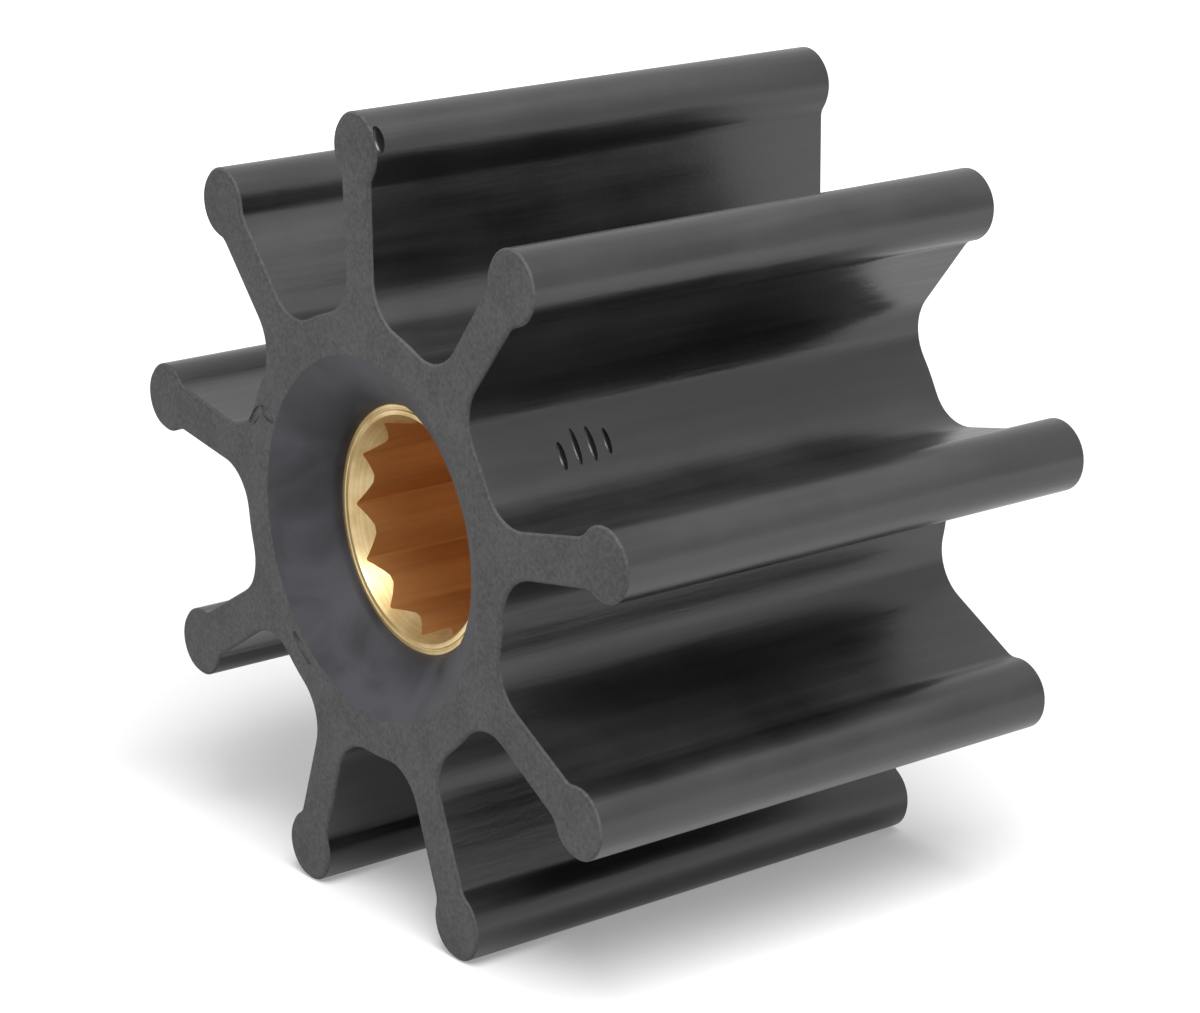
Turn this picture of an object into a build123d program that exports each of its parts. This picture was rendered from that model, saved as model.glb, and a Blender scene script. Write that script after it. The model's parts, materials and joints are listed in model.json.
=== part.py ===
from build123d import *
from math import asin, cos, pi, radians, sin, tan
import os

# Flexible-vane pump impeller: a rubber body moulded onto a splined brass insert.
# Millimetres. The shaft axis is Y, the origin is on that axis halfway between the ends,
# and the impeller lies on the beads of its two lowest vanes, with one vane straight up (+Z).

# ---- Rubber body, over all ----
tip_diameter = 95.25        # over the vane beads, 3-3/4 in
body_length = 63.5          # end face to end face, 2-1/2 in
hub_diameter = 50.8         # rubber hub between the vanes

# ---- Vanes ----
vane_count = 9
bead_diameter = 8.2         # round sealing bead along each vane tip
neck_thickness = 5.5        # vane web beside the bead
root_thickness = 5.0        # vane web at the hub
neck_radius = 2.2           # hollow between web and bead
root_radius = 5.5           # hollow between web and hub, where the vane bends
edge_break = 0.35           # broken corner between the flanks and the end faces

# ---- Dished recess in each end of the hub ----
recess_diameter = 41.4
recess_depth = 5.7
recess_hollow = 0.9         # how far the dish sags below a straight cone
rim_round = 0.8

# ---- Brass insert ----
insert_diameter = 28.4
insert_set_back = 0.3       # rubber lip standing proud of the insert's end
bond_groove_count = 2       # grooves round the insert that lock the rubber to it
bond_groove_spacing = 20.0
bond_groove_width = 4.0
bond_groove_depth = 0.7

# ---- Internal spline ----
spline_teeth = 12
spline_major_diameter = 25.0
spline_minor_diameter = 23.2
tooth_tip_width = 0.9
space_root_width = 0.3
lead_in_diameter = 26.0     # lead-in cone that cuts back the ends of the teeth
lead_in_angle = 30.0        # between that cone and the axis

# Worked out from the sizes above
near_end = -body_length / 2
insert_length = body_length - 2 * (recess_depth + insert_set_back)
insert_radius = insert_diameter / 2
web_start = hub_diameter / 2 - root_thickness      # the web is rooted one thickness deep
bead_centre = (tip_diameter - bead_diameter) / 2
lead_in_depth = lead_in_diameter / 2 / tan(radians(lead_in_angle))     # down to its apex
minor_radius = spline_minor_diameter / 2
half_space_angle = pi / spline_teeth - asin(tooth_tip_width / spline_minor_diameter)     # radians
near_plane = Plane.XZ.offset(-near_end)     # faces -Y, with X across and Z up
insert_plane = Plane.XZ.offset(insert_length / 2)


def distance_from_axis(vertex):
    """Rounded radius of a corner of the vane section, to gather corners of one kind."""
    return round((vertex.X**2 + vertex.Y**2) ** 0.5, 2)


def insert_outline():
    """Half section of the insert's outside, grooves included, to be turned about Y."""
    with BuildSketch(Plane.XY) as half_section:
        with Locations((insert_radius / 2, 0)):
            Rectangle(insert_radius, insert_length)
        with Locations((insert_radius, 0)):
            with GridLocations(0, bond_groove_spacing, 1, bond_groove_count):
                Rectangle(2 * bond_groove_depth, bond_groove_width, mode=Mode.SUBTRACT)
    return half_section.sketch


# ---- Rubber body: hub, vanes and beads in one moulding ----
with BuildPart() as impeller_body:
    with BuildSketch(near_plane) as vane_section:
        Circle(hub_diameter / 2)
        with PolarLocations(0, vane_count, start_angle=90):
            Polygon(
                (web_start, root_thickness / 2),
                (web_start, -root_thickness / 2),
                (bead_centre, -neck_thickness / 2),
                (bead_centre, neck_thickness / 2),
                align=None,
            )
        with PolarLocations(bead_centre, vane_count, start_angle=90):
            Circle(bead_diameter / 2)
        fillet(vane_section.vertices().group_by(distance_from_axis)[0], root_radius)
        fillet(vane_section.vertices().group_by(distance_from_axis)[-1], neck_radius)
    extrude(amount=-body_length)
    end_faces = faces().filter_by(Axis.Y)
    chamfer(end_faces.edges(), edge_break)

    # Dished recess, the same in both ends
    with BuildSketch(Plane.XY) as recess_section:
        with BuildLine():
            walls = Polyline(
                (insert_radius, near_end + recess_depth),
                (insert_radius, -insert_length / 2),
                (0, -insert_length / 2),
                (0, near_end),
                (recess_diameter / 2, near_end),
            )
            SagittaArc(walls @ 1, walls @ 0, recess_hollow)
        make_face()
        mirror(about=Plane.XZ)
    revolve(axis=Axis.Y, mode=Mode.SUBTRACT)
    rims = edges().filter_by(GeomType.CIRCLE)
    rims = rims.filter_by(lambda edge: abs(edge.radius - recess_diameter / 2) < edge_break)
    fillet(rims, rim_round)

    # Seat moulded round the insert
    add(insert_outline())
    revolve(axis=Axis.Y, mode=Mode.SUBTRACT)


# ---- Brass insert with its internal spline ----
with BuildPart() as splined_insert:
    add(insert_outline())
    revolve(axis=Axis.Y)
    with BuildSketch(insert_plane):
        Circle(minor_radius)
        mouth_x = minor_radius * cos(half_space_angle)      # where a tooth's flank meets its tip
        mouth_y = minor_radius * sin(half_space_angle)
        with PolarLocations(0, spline_teeth):
            Polygon(
                (0, 0),
                (mouth_x, -mouth_y),
                (spline_major_diameter / 2, -space_root_width / 2),
                (spline_major_diameter / 2, space_root_width / 2),
                (mouth_x, mouth_y),
                align=None,
            )
    extrude(amount=-insert_length, mode=Mode.SUBTRACT)
    with BuildSketch(Plane.XY):
        with BuildLine():
            Polyline(
                (0, -insert_length / 2),
                (lead_in_diameter / 2, -insert_length / 2),
                (0, -insert_length / 2 + lead_in_depth),
                close=True,
            )
        make_face()
        mirror(about=Plane.XZ)
    revolve(axis=Axis.Y, mode=Mode.SUBTRACT)


impeller_body.part.label = "impeller_body"
splined_insert.part.label = "splined_insert"
os.makedirs("parts", exist_ok=True)
for piece in (impeller_body, splined_insert):
    export_step(piece.part, f"parts/{piece.part.label}.step")
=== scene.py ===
# %% [markdown]
# # A flexible-vane pump impeller
# A marine water pump pushes water with a rubber wheel: straight vanes with a round bead along
# each tip, moulded around a brass insert that slides on the splined shaft. This notebook dresses
# the solid model of that wheel. It loads the frame, models the finer skin of each piece,
# gives rubber and brass their finishes, and sets up a plain pale studio.

# %% Load the frame
import json
import math

import bpy
from mathutils import Matrix, Vector

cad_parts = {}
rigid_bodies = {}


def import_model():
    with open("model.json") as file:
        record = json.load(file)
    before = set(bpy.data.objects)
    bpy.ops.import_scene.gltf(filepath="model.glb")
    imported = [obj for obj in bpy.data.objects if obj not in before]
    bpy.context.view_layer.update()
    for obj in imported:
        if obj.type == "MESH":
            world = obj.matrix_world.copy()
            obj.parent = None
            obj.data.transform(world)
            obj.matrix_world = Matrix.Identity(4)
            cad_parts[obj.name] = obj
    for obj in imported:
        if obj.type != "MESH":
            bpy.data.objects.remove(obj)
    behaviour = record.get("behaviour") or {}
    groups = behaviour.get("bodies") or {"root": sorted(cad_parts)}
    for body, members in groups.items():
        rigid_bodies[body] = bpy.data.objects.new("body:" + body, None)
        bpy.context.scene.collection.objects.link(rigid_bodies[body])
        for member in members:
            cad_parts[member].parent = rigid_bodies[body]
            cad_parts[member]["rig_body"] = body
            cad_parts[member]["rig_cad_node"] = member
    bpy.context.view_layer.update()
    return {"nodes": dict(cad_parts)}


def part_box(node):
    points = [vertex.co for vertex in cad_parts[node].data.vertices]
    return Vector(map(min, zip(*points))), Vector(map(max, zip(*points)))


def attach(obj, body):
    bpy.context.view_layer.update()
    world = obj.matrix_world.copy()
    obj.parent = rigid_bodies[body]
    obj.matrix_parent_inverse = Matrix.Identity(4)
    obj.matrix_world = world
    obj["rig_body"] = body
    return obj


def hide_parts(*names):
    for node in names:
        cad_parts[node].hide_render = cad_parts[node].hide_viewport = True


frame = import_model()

MM = 0.001
body_low, body_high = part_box("impeller_body")
insert_low, insert_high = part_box("splined_insert")
half_length = body_high.y
print("body", [round(v / MM, 2) for v in body_high - body_low], "mm")
print("insert", [round(v / MM, 2) for v in insert_high - insert_low], "mm")

# %% [markdown]
# ## Camera
# The lens is long, about three times the width of its sensor, so the far end looks almost as
# large as the near one. The camera stands off the near end to the right and a little above, and
# is aimed by its azimuth, elevation and distance, which are easier to reason about than angles
# about three axes.

# %% Camera from azimuth, elevation, roll and distance
AZIMUTH = 53.1
ELEVATION = 16.7
ROLL = -0.9
DISTANCE = 399.2 * MM
AIM = Vector((0.44, 0.0, -2.15)) * MM
FOCAL_LENGTH = 103.8
SENSOR_WIDTH = 36.0


def camera_axes(azimuth, elevation, roll):
    """Right, up and back directions of a camera; azimuth 0 looks along +Y."""
    a, e, r = (math.radians(angle) for angle in (azimuth, elevation, roll))
    back = Vector((math.sin(a) * math.cos(e), -math.cos(a) * math.cos(e), math.sin(e)))
    right = Vector((math.cos(a), math.sin(a), 0.0))
    up = back.cross(right)
    return (
        right * math.cos(r) + up * math.sin(r),
        up * math.cos(r) - right * math.sin(r),
        back,
    )


def looking_at(aim, distance, azimuth, elevation, roll=0.0):
    """Where a camera or lamp stands to face a point from a distance, as a matrix."""
    axes = camera_axes(azimuth, elevation, roll)
    back = axes[2]
    return Matrix.Translation(aim + back * distance) @ Matrix(axes).transposed().to_4x4()


camera_data = bpy.data.cameras.new("studio_camera")
camera_data.sensor_fit = "HORIZONTAL"
camera_data.sensor_width = SENSOR_WIDTH
camera_data.lens = FOCAL_LENGTH
camera_data.clip_start = 0.01
camera_data.clip_end = 20.0
camera = bpy.data.objects.new("studio_camera", camera_data)
bpy.context.scene.collection.objects.link(camera)
camera.matrix_world = looking_at(AIM, DISTANCE, AZIMUTH, ELEVATION, ROLL)
bpy.context.scene.camera = camera
print("camera at", [round(v, 4) for v in camera.location])

# %% [markdown]
# ## The rubber body
# The solid model's skin is loose triangles with hard corners. Rubber corners are never sharp, so
# a copy is welded, and its narrow corner strips are shaded as roundings: weighted normals keep the
# wide faces flat and let only the strips turn from one face to the next.

# %% Helpers for modelling by hand
def deselect_all():
    for item in bpy.context.selected_objects:
        item.select_set(False)


def make_active(item):
    deselect_all()
    item.select_set(True)
    bpy.context.view_layer.objects.active = item


WELD_DISTANCE = 0.002 * MM     # well under the finest form, the ring groove of 0.16 mm


def weld(piece, dissolve_angle=0.0):
    """Joins points that lie on one another, and makes flat areas one face if an angle is given."""
    make_active(piece)
    bpy.ops.object.mode_set(mode="EDIT")
    bpy.ops.mesh.select_all(action="SELECT")
    bpy.ops.mesh.remove_doubles(threshold=WELD_DISTANCE)
    if dissolve_angle:
        bpy.ops.mesh.dissolve_limited(angle_limit=math.radians(dissolve_angle))
    bpy.ops.object.mode_set(mode="OBJECT")


def welded_copy(node, name, dissolve_angle=0.0):
    """A copy of a node's skin with its loose triangles joined."""
    make_active(frame["nodes"][node])
    bpy.ops.object.duplicate()
    piece = bpy.context.object
    piece.name = name
    piece.data.name = name
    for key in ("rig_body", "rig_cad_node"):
        del piece[key]
    piece.parent = None
    # The copy brings its stored normals along, and they would hide corners marked sharp later.
    bpy.ops.mesh.customdata_custom_splitnormals_clear()
    weld(piece, dissolve_angle)
    return piece


body = welded_copy("impeller_body", "rubber_body", dissolve_angle=0.5)
print("rubber body", len(body.data.vertices), "points", len(body.data.polygons), "faces")

# %% [markdown]
# ## Marks left by the mould
# Between two vanes near the end, the mould leaves a row of short strokes on the hub. The end face
# has three shallow scars near its rim, and the topmost bead has a nick beside its end. All are
# pressed in with flattened spheres, which give a soft dished bottom like a real impression; raised
# bars would catch light on the wrong side. The strokes are plain on purpose: they only show where
# a mould would carry its marks.

# %% Cutters and a boolean that keeps the body closed
def cut_with(piece, cutters):
    """Subtracts the cutters from a piece one after another, so that they may overlap, and welds
    the slivers that a cut leaves where it meets the mesh's own points."""
    for cutter in cutters:
        make_active(cutter)
        bpy.ops.object.transform_apply(location=True, rotation=True, scale=True)
        make_active(piece)
        cut = piece.modifiers.new("cut", "BOOLEAN")
        cut.operation = "DIFFERENCE"
        cut.solver = "EXACT"
        cut.object = cutter
        bpy.ops.object.modifier_apply(modifier=cut.name)
        bpy.data.objects.remove(cutter)
    weld(piece)


def dent(radius, angle, y, size, turn=0.0):
    """A flattened sphere for a shallow mark at a radius and angle about the shaft axis. size is
    its radial, axial and tangential extent in mm, and turn tips it in the plane of the end face."""
    theta = math.radians(angle)
    deselect_all()
    bpy.ops.mesh.primitive_uv_sphere_add(segments=24, ring_count=12, radius=0.5)
    cutter = bpy.context.object
    cutter.scale = Vector(size) * MM
    cutter.rotation_euler = (0.0, -theta - math.radians(turn), 0.0)
    cutter.location = (radius * math.cos(theta), y, radius * math.sin(theta))
    return cutter


HUB_RADIUS = 25.4 * MM
near_end = body_low.y
strokes = [
    dent(HUB_RADIUS, 29.5, near_end + 10.6 * MM, (1.4, 0.9, 3.2)),
    dent(HUB_RADIUS, 31.1, near_end + 12.7 * MM, (1.3, 0.8, 4.2)),
    dent(HUB_RADIUS, 31.0, near_end + 14.7 * MM, (1.4, 0.9, 4.0)),
    dent(HUB_RADIUS, 30.8, near_end + 16.8 * MM, (1.3, 0.8, 3.0)),
]
scars = [
    dent(24.5 * MM, 157.0, near_end, (1.3, 1.1, 3.6), turn=-22.0),
    dent(22.5 * MM, 152.9, near_end, (3.0, 1.1, 1.3)),
    dent(21.9 * MM, -131.6, near_end, (1.2, 1.2, 4.8)),
]
BEAD_RADIUS = 4.1 * MM
nick_x = 3.8 * MM     # on the side of the topmost bead, a little above its centre
nick_z = body_high.z - BEAD_RADIUS + 1.55 * MM
nick_angle = math.degrees(math.atan2(nick_z, nick_x))
nick = dent(
    math.hypot(nick_x, nick_z),
    nick_angle,
    near_end + 0.85 * MM,
    (2.2, 1.2, 3.2),
    turn=22.0 - nick_angle,
)
cut_with(body, strokes + scars + [nick])
print("marked body", len(body.data.polygons), "faces")

# %% Round the body's corners with weighted normals
def soften_corners(piece, smooth_angle):
    """Smooth shading across narrow corner strips, with the wide faces kept flat."""
    make_active(piece)
    bpy.ops.object.shade_smooth_by_angle(angle=math.radians(smooth_angle))
    weighted = piece.modifiers.new("weighted_normals", "WEIGHTED_NORMAL")
    weighted.mode = "FACE_AREA"
    weighted.keep_sharp = True
    bpy.ops.object.modifier_apply(modifier=weighted.name)


soften_corners(body, smooth_angle=50.0)

# %% [markdown]
# ## Materials
# Each finish is one function, named for the real material and how it was made. Colours are written
# as sRGB hex values and turned to linear light, and every pattern's scale comes from a real size
# in millimetres. A finish could also be baked to pictures, but a procedural one stays sharp however
# near the camera comes.

# %% Colour and node helpers
def colour(hex_code):
    """Linear RGBA of an sRGB hex colour."""
    channels = [int(hex_code[i : i + 2], 16) / 255 for i in (1, 3, 5)]
    linear = [c / 12.92 if c <= 0.04045 else ((c + 0.055) / 1.055) ** 2.4 for c in channels]
    return (*linear, 1.0)


def per_mm(size_mm):
    """Texture scale that makes one feature size_mm wide on Object coordinates in metres."""
    return 1.0 / (size_mm * MM)


def add_node(tree, kind, inputs=None, **settings):
    """Adds a node; each input is a value or the output socket of another node."""
    new = tree.nodes.new(kind)
    for name, value in settings.items():
        setattr(new, name, value)
    for name, value in (inputs or {}).items():
        if isinstance(value, bpy.types.NodeSocket):
            tree.links.new(value, new.inputs[name])
        else:
            new.inputs[name].default_value = value
    return new


def add_ramp(tree, factor, stops):
    """A colour ramp from (position, hex colour) stops."""
    ramp = add_node(tree, "ShaderNodeValToRGB", {"Fac": factor})
    elements = ramp.color_ramp.elements
    while len(elements) < len(stops):
        elements.new(1.0)
    for element, (position, hex_code) in zip(elements, stops):
        element.position = position
        element.color = colour(hex_code)
    return ramp.outputs["Color"]


def add_noise(tree, vector, size_mm, detail, **extra):
    """A noise pattern whose features are about size_mm wide, as a value socket."""
    inputs = {"Vector": vector, "Scale": per_mm(size_mm), "Detail": detail, **extra}
    return add_node(tree, "ShaderNodeTexNoise", inputs).outputs["Fac"]


def mix_values(tree, factor, first, second):
    """Two patterns blended, where factor is the share of the second."""
    inputs = {"Factor": factor, "A": first, "B": second}
    return add_node(tree, "ShaderNodeMix", inputs, data_type="FLOAT").outputs["Result"]


def add_range(tree, value, source, target, **settings):
    """A value carried from one range to another; both ranges are (low, high)."""
    inputs = {
        "Value": value,
        "From Min": source[0],
        "From Max": source[1],
        "To Min": target[0],
        "To Max": target[1],
    }
    return add_node(tree, "ShaderNodeMapRange", inputs, **settings).outputs["Result"]


def add_bump(tree, height, strength, depth_mm, **extra):
    """Relief of a pattern; depth_mm is how deep it would be at full strength."""
    inputs = {"Height": height, "Strength": strength, "Distance": depth_mm * MM, **extra}
    return add_node(tree, "ShaderNodeBump", inputs).outputs["Normal"]


def finish_surface(tree, output, inputs):
    """Ends a material in one Principled shader with these inputs."""
    shader = add_node(tree, "ShaderNodeBsdfPrincipled", inputs)
    tree.links.new(shader.outputs["BSDF"], output.inputs["Surface"])


def new_material(name):
    """An empty node material with its output node and its Object coordinates."""
    material = bpy.data.materials.new(name)
    material.use_nodes = True
    tree = material.node_tree
    tree.nodes.clear()
    output = add_node(tree, "ShaderNodeOutputMaterial")
    place = add_node(tree, "ShaderNodeTexCoord").outputs["Object"]
    return material, tree, output, place


# %% [markdown]
# ### Rubber, three finishes of one compound
# Nitrile rubber takes the face of whatever last touched it. The flanks keep the polish of the
# steel mould, the dished ends keep a wax bloom that nothing rubs off, and the end faces are ground
# to length, which leaves them matt. One material with a mask would also do, but three short ones
# are easier to read and to change.

# %% Moulded rubber of the flanks
def moulded_nitrile():
    """Nitrile rubber as it leaves a steel mould: black, satin, with faint flow lines along the
    vanes and a thin grey bloom where wax has come to the surface. The IOR of 1.6 is above the
    1.52 of bare rubber and was set for the strong sheen of a polished moulding."""
    material, tree, output, place = new_material("moulded_nitrile_rubber")
    # The flow lines run along the shaft, so their pattern is stretched along Y.
    along = add_node(tree, "ShaderNodeMapping", {"Vector": place, "Scale": (1.0, 0.08, 1.0)})
    flow = add_noise(tree, along.outputs["Vector"], size_mm=3.0, detail=4.0)
    bloom = add_noise(tree, place, size_mm=14.0, detail=5.0)
    both = mix_values(tree, 0.5, flow, bloom)
    waves = add_bump(tree, flow, strength=0.6, depth_mm=0.22)
    # The mould's polish is finer than 0.1 mm, too fine to show, so its grain is drawn at 0.5 mm.
    skin = add_noise(tree, place, size_mm=0.5, detail=2.0)
    inputs = {
        "Base Color": add_ramp(tree, both, [(0.35, "#0c0c0d"), (0.65, "#242424")]),
        "Roughness": add_range(tree, both, source=(0.3, 0.7), target=(0.25, 0.43)),
        "Normal": add_bump(tree, skin, strength=0.35, depth_mm=0.03, Normal=waves),
        "IOR": 1.6,
    }
    finish_surface(tree, output, inputs)
    return material


flank_rubber = moulded_nitrile()
print(flank_rubber.name, len(flank_rubber.node_tree.nodes), "nodes")


# %% Bloomed rubber of the dished recess
def bloomed_nitrile():
    """Nitrile rubber inside the dished recess, where no hand or wheel wipes it: its wax bloom
    stays as a dull slate-blue haze in soft patches. The IOR of 1.38 is below that of bare rubber
    and was set lower since a haze scatters more than it reflects."""
    material, tree, output, place = new_material("bloomed_nitrile_rubber")
    patches = add_noise(tree, place, size_mm=9.0, detail=5.0, Distortion=0.6)
    # The grains of a bloom are too fine to show, so they are drawn at 0.7 mm.
    skin = add_noise(tree, place, size_mm=0.7, detail=2.0)
    inputs = {
        "Base Color": add_ramp(tree, patches, [(0.36, "#222226"), (0.62, "#3b3b41")]),
        "Roughness": add_range(tree, patches, source=(0.35, 0.65), target=(0.5, 0.62)),
        "Normal": add_bump(tree, skin, strength=0.3, depth_mm=0.03),
        "IOR": 1.38,
    }
    finish_surface(tree, output, inputs)
    return material


dish_rubber = bloomed_nitrile()
print(dish_rubber.name, len(dish_rubber.node_tree.nodes), "nodes")


# %% Ground rubber of the end faces
def ground_nitrile():
    """Nitrile rubber with its end faces ground flat: matt grey, finely pitted, with dark specks
    of filler laid open by the wheel."""
    material, tree, output, place = new_material("ground_nitrile_rubber")
    cloud = add_noise(tree, place, size_mm=5.0, detail=4.0)
    # A fine wheel leaves pits of about 0.1 mm, drawn here at 0.45 mm so that they show.
    grit = add_noise(tree, place, size_mm=0.45, detail=3.0)
    both = mix_values(tree, 0.65, cloud, grit)
    greys = [(0.36, "#2e2e2e"), (0.5, "#3c3c3c"), (0.66, "#474747")]
    inputs = {
        "Base Color": add_ramp(tree, both, greys),
        "Roughness": 0.8,
        "Normal": add_bump(tree, grit, strength=0.6, depth_mm=0.06),
        "IOR": 1.52,
    }
    finish_surface(tree, output, inputs)
    return material


face_rubber = ground_nitrile()
print(face_rubber.name, len(face_rubber.node_tree.nodes), "nodes")


# %% [markdown]
# ### Brass, turned and broached
# The sleeve is turned on a lathe, which leaves rings about the axis, and its spline is pulled out
# by a broach, which leaves streaks along the axis. The heat of moulding tarnishes the bore to a
# warm brown while the end is wiped bright again.

# %% Brass of the insert
def turned_brass():
    """Brass turned on a lathe: pale gold with fine rings about the axis, dulled by handling."""
    material, tree, output, place = new_material("turned_brass")
    axes = add_node(tree, "ShaderNodeSeparateXYZ", {"Vector": place})
    flat = add_node(
        tree,
        "ShaderNodeCombineXYZ",
        {"X": axes.outputs["X"], "Y": axes.outputs["Z"]},
    )
    radius = add_node(
        tree, "ShaderNodeVectorMath", {0: flat.outputs["Vector"]}, operation="LENGTH"
    )
    # Lathe feed marks are about 0.1 mm apart, drawn here at 0.25 mm so that they show.
    rings = add_node(
        tree,
        "ShaderNodeTexNoise",
        {"W": radius.outputs["Value"], "Scale": per_mm(0.25), "Detail": 2.0},
        noise_dimensions="1D",
    )
    tarnish = add_noise(tree, place, size_mm=4.0, detail=4.0)
    both = mix_values(tree, 0.7, rings.outputs["Fac"], tarnish)
    inputs = {
        "Base Color": add_ramp(tree, both, [(0.35, "#b69c6c"), (0.65, "#d8c396")]),
        "Metallic": 1.0,
        "Roughness": add_range(tree, both, source=(0.3, 0.7), target=(0.5, 0.4)),
        "Normal": add_bump(tree, rings.outputs["Fac"], strength=0.15, depth_mm=0.02),
    }
    finish_surface(tree, output, inputs)
    return material


def broached_brass():
    """Brass cut by a broach: streaks along the axis, stained warm brown by moulding heat."""
    material, tree, output, place = new_material("broached_brass")
    along = add_node(tree, "ShaderNodeMapping", {"Vector": place, "Scale": (1.0, 0.04, 1.0)})
    # Broach marks are about 0.3 mm apart, drawn here at 1.2 mm so that they show deep in the bore.
    streaks = add_noise(tree, along.outputs["Vector"], size_mm=1.2, detail=3.0)
    inputs = {
        "Base Color": add_ramp(tree, streaks, [(0.3, "#c9985f"), (0.7, "#dcaa6f")]),
        "Metallic": 1.0,
        "Roughness": add_range(tree, streaks, source=(0.3, 0.7), target=(0.62, 0.5)),
        "Normal": add_bump(tree, streaks, strength=0.2, depth_mm=0.03),
    }
    finish_surface(tree, output, inputs)
    return material


ring_brass = turned_brass()
bore_brass = broached_brass()
print(ring_brass.name, "and", bore_brass.name, "ready")

# %% [markdown]
# ### Which face takes which rubber
# The finishes meet at real corners, so each face is told apart by its place and direction: the
# plane of an end, the dish inside the rim, or a flank. Painting by hand would give the same result
# here, but would have to be done again after any change of size.

# %% Assign the rubbers by face
EDGE_BREAK = 0.3 * MM
END_PLANE_TOLERANCE = 0.02 * MM
RIM_RADIUS = 21.6 * MM


def paint(piece, materials, choose):
    """Gives a piece its materials; choose returns the slot of a face from its centre and normal."""
    piece.data.materials.clear()
    for material in materials:
        piece.data.materials.append(material)
    for face in piece.data.polygons:
        face.material_index = choose(face.center, face.normal)


def faces_by_slot(piece):
    """The faces of a piece, gathered by material slot."""
    slots = [[] for _ in piece.data.materials]
    for face in piece.data.polygons:
        slots[face.material_index].append(face)
    return slots


def rubber_slot(centre, normal):
    """1 is ground rubber, on the end faces and their broken corners, and 2 is the dished recess."""
    inward = half_length - abs(centre.y)
    outside_recess = math.hypot(centre.x, centre.z) > RIM_RADIUS
    if inward < END_PLANE_TOLERANCE and abs(normal.y) > 0.9:
        return 1
    if outside_recess:
        return 1 if inward < EDGE_BREAK and abs(normal.y) > 0.3 else 0
    return 2


paint(body, [flank_rubber, face_rubber, dish_rubber], rubber_slot)
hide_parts("impeller_body")
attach(body, "root")
print("rubber body", [len(slot_faces) for slot_faces in faces_by_slot(body)], "faces by finish")

# %% [markdown]
# ## The brass insert
# The insert slides on the pump's splined shaft and is locked into the rubber by grooves round its
# outside. A shallow ring is turned into each of its ends, cut here with a thin torus; a bevelled
# step would need the end face to be rebuilt. Its teeth have crisp broached corners, so only
# corners under 25 degrees are shaded smooth.

# %% Ring grooves and crisp teeth
RING_RADIUS = 13.65 * MM
RING_GROOVE = 0.16 * MM
insert = welded_copy("splined_insert", "brass_insert")
grooves = []
for end in (insert_low.y, insert_high.y):
    deselect_all()
    bpy.ops.mesh.primitive_torus_add(
        major_segments=96,
        minor_segments=12,
        major_radius=RING_RADIUS,
        minor_radius=RING_GROOVE,
        location=(0.0, end, 0.0),
        rotation=(math.radians(90.0), 0.0, 0.0),
    )
    grooves.append(bpy.context.object)
cut_with(insert, grooves)
soften_corners(insert, smooth_angle=25.0)


BORE_RADIUS = 12.7 * MM


def brass_slot(centre, normal):
    """1 is broached brass, on the walls of the spline, and 0 is turned brass."""
    inside_bore = math.hypot(centre.x, centre.z) < BORE_RADIUS and abs(normal.y) < 0.3
    return 1 if inside_bore else 0


paint(insert, [ring_brass, bore_brass], brass_slot)
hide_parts("splined_insert")
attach(insert, "root")
print("brass insert", [len(slot_faces) for slot_faces in faces_by_slot(insert)], "faces by finish")

# %% [markdown]
# ## Studio
# A pale floor that keeps the shadow, a white surround that the brass can mirror, and large soft
# lamps.

# %% Floor
FLOOR_SIZE = 4.0
deselect_all()
bpy.ops.mesh.primitive_plane_add(size=FLOOR_SIZE, location=(0.0, 0.0, body_low.z))
floor = bpy.context.object
floor.name = "floor"


def seen_directly(tree):
    """1 for rays from the camera, or by way of a mirror or glass, and 0 for light."""
    path = add_node(tree, "ShaderNodeLightPath")
    either = add_node(
        tree,
        "ShaderNodeMath",
        {0: path.outputs["Is Camera Ray"], 1: path.outputs["Is Glossy Ray"]},
        operation="MAXIMUM",
    )
    any_of_them = add_node(
        tree,
        "ShaderNodeMath",
        {0: either.outputs["Value"], 1: path.outputs["Is Transmission Ray"]},
        operation="MAXIMUM",
    )
    return any_of_them.outputs["Value"]


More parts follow.
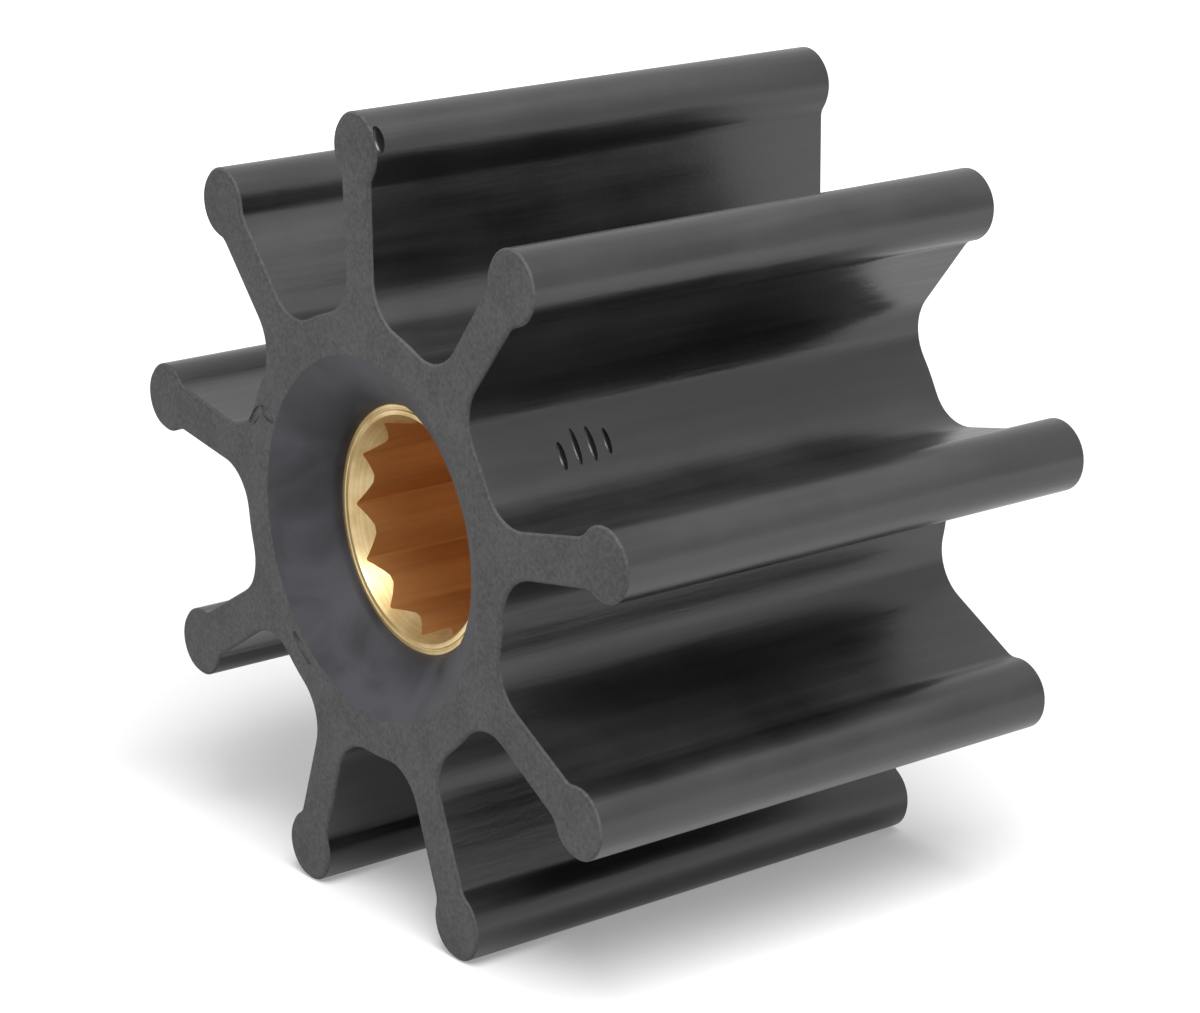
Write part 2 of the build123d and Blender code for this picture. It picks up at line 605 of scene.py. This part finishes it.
def pale_floor():
    """Pale paper that takes the shadow. It glows more away from the lamps, so that it stays white
    to its edges."""
    material, tree, output, place = new_material("pale_floor")
    distance = add_node(tree, "ShaderNodeVectorMath", {0: place}, operation="LENGTH")
    strength = add_range(
        tree,
        distance.outputs["Value"],
        source=(0.06, 0.5),
        target=(0.28, 0.85),
        interpolation_type="SMOOTHSTEP",
    )
    paper = add_node(tree, "ShaderNodeBsdfDiffuse", {"Color": colour("#cfcfcf")})
    glow = add_node(
        tree,
        "ShaderNodeEmission",
        {"Color": colour("#ffffff"), "Strength": strength},
    )
    both = add_node(
        tree, "ShaderNodeAddShader", {0: paper.outputs["BSDF"], 1: glow.outputs["Emission"]}
    )
    surface = add_node(
        tree,
        "ShaderNodeMixShader",
        {0: seen_directly(tree), 1: paper.outputs["BSDF"], 2: both.outputs["Shader"]},
    )
    tree.links.new(surface.outputs["Shader"], output.inputs["Surface"])
    return material


floor.data.materials.append(pale_floor())
print("floor at", round(body_low.z / MM, 2), "mm")

# %% World
world = bpy.data.worlds.new("studio")
world.use_nodes = True
bpy.context.scene.world = world
sky = world.node_tree
sky.nodes.clear()
lighting = add_node(sky, "ShaderNodeBackground", {"Color": colour("#ffffff"), "Strength": 0.4})
surround = add_node(sky, "ShaderNodeBackground", {"Color": colour("#ffffff"), "Strength": 1.0})
choice = add_node(
    sky,
    "ShaderNodeMixShader",
    {
        0: seen_directly(sky),
        1: lighting.outputs["Background"],
        2: surround.outputs["Background"],
    },
)
sky_output = add_node(sky, "ShaderNodeOutputWorld")
sky.links.new(choice.outputs["Shader"], sky_output.inputs["Surface"])

# %% Lamps
def soft_lamp(name, azimuth, elevation, distance, size, power):
    """A square area lamp aimed at the middle of the impeller."""
    data = bpy.data.lights.new(name, "AREA")
    data.shape = "SQUARE"
    data.size = size
    data.energy = power
    lamp = bpy.data.objects.new(name, data)
    bpy.context.scene.collection.objects.link(lamp)
    lamp.matrix_world = looking_at(Vector(), distance, azimuth, elevation)


soft_lamp("key", azimuth=70.0, elevation=60.0, distance=0.9, size=0.6, power=13.0)
soft_lamp("fill", azimuth=-20.0, elevation=25.0, distance=1.1, size=0.7, power=2.0)
bpy.context.scene.view_settings.view_transform = "Standard"
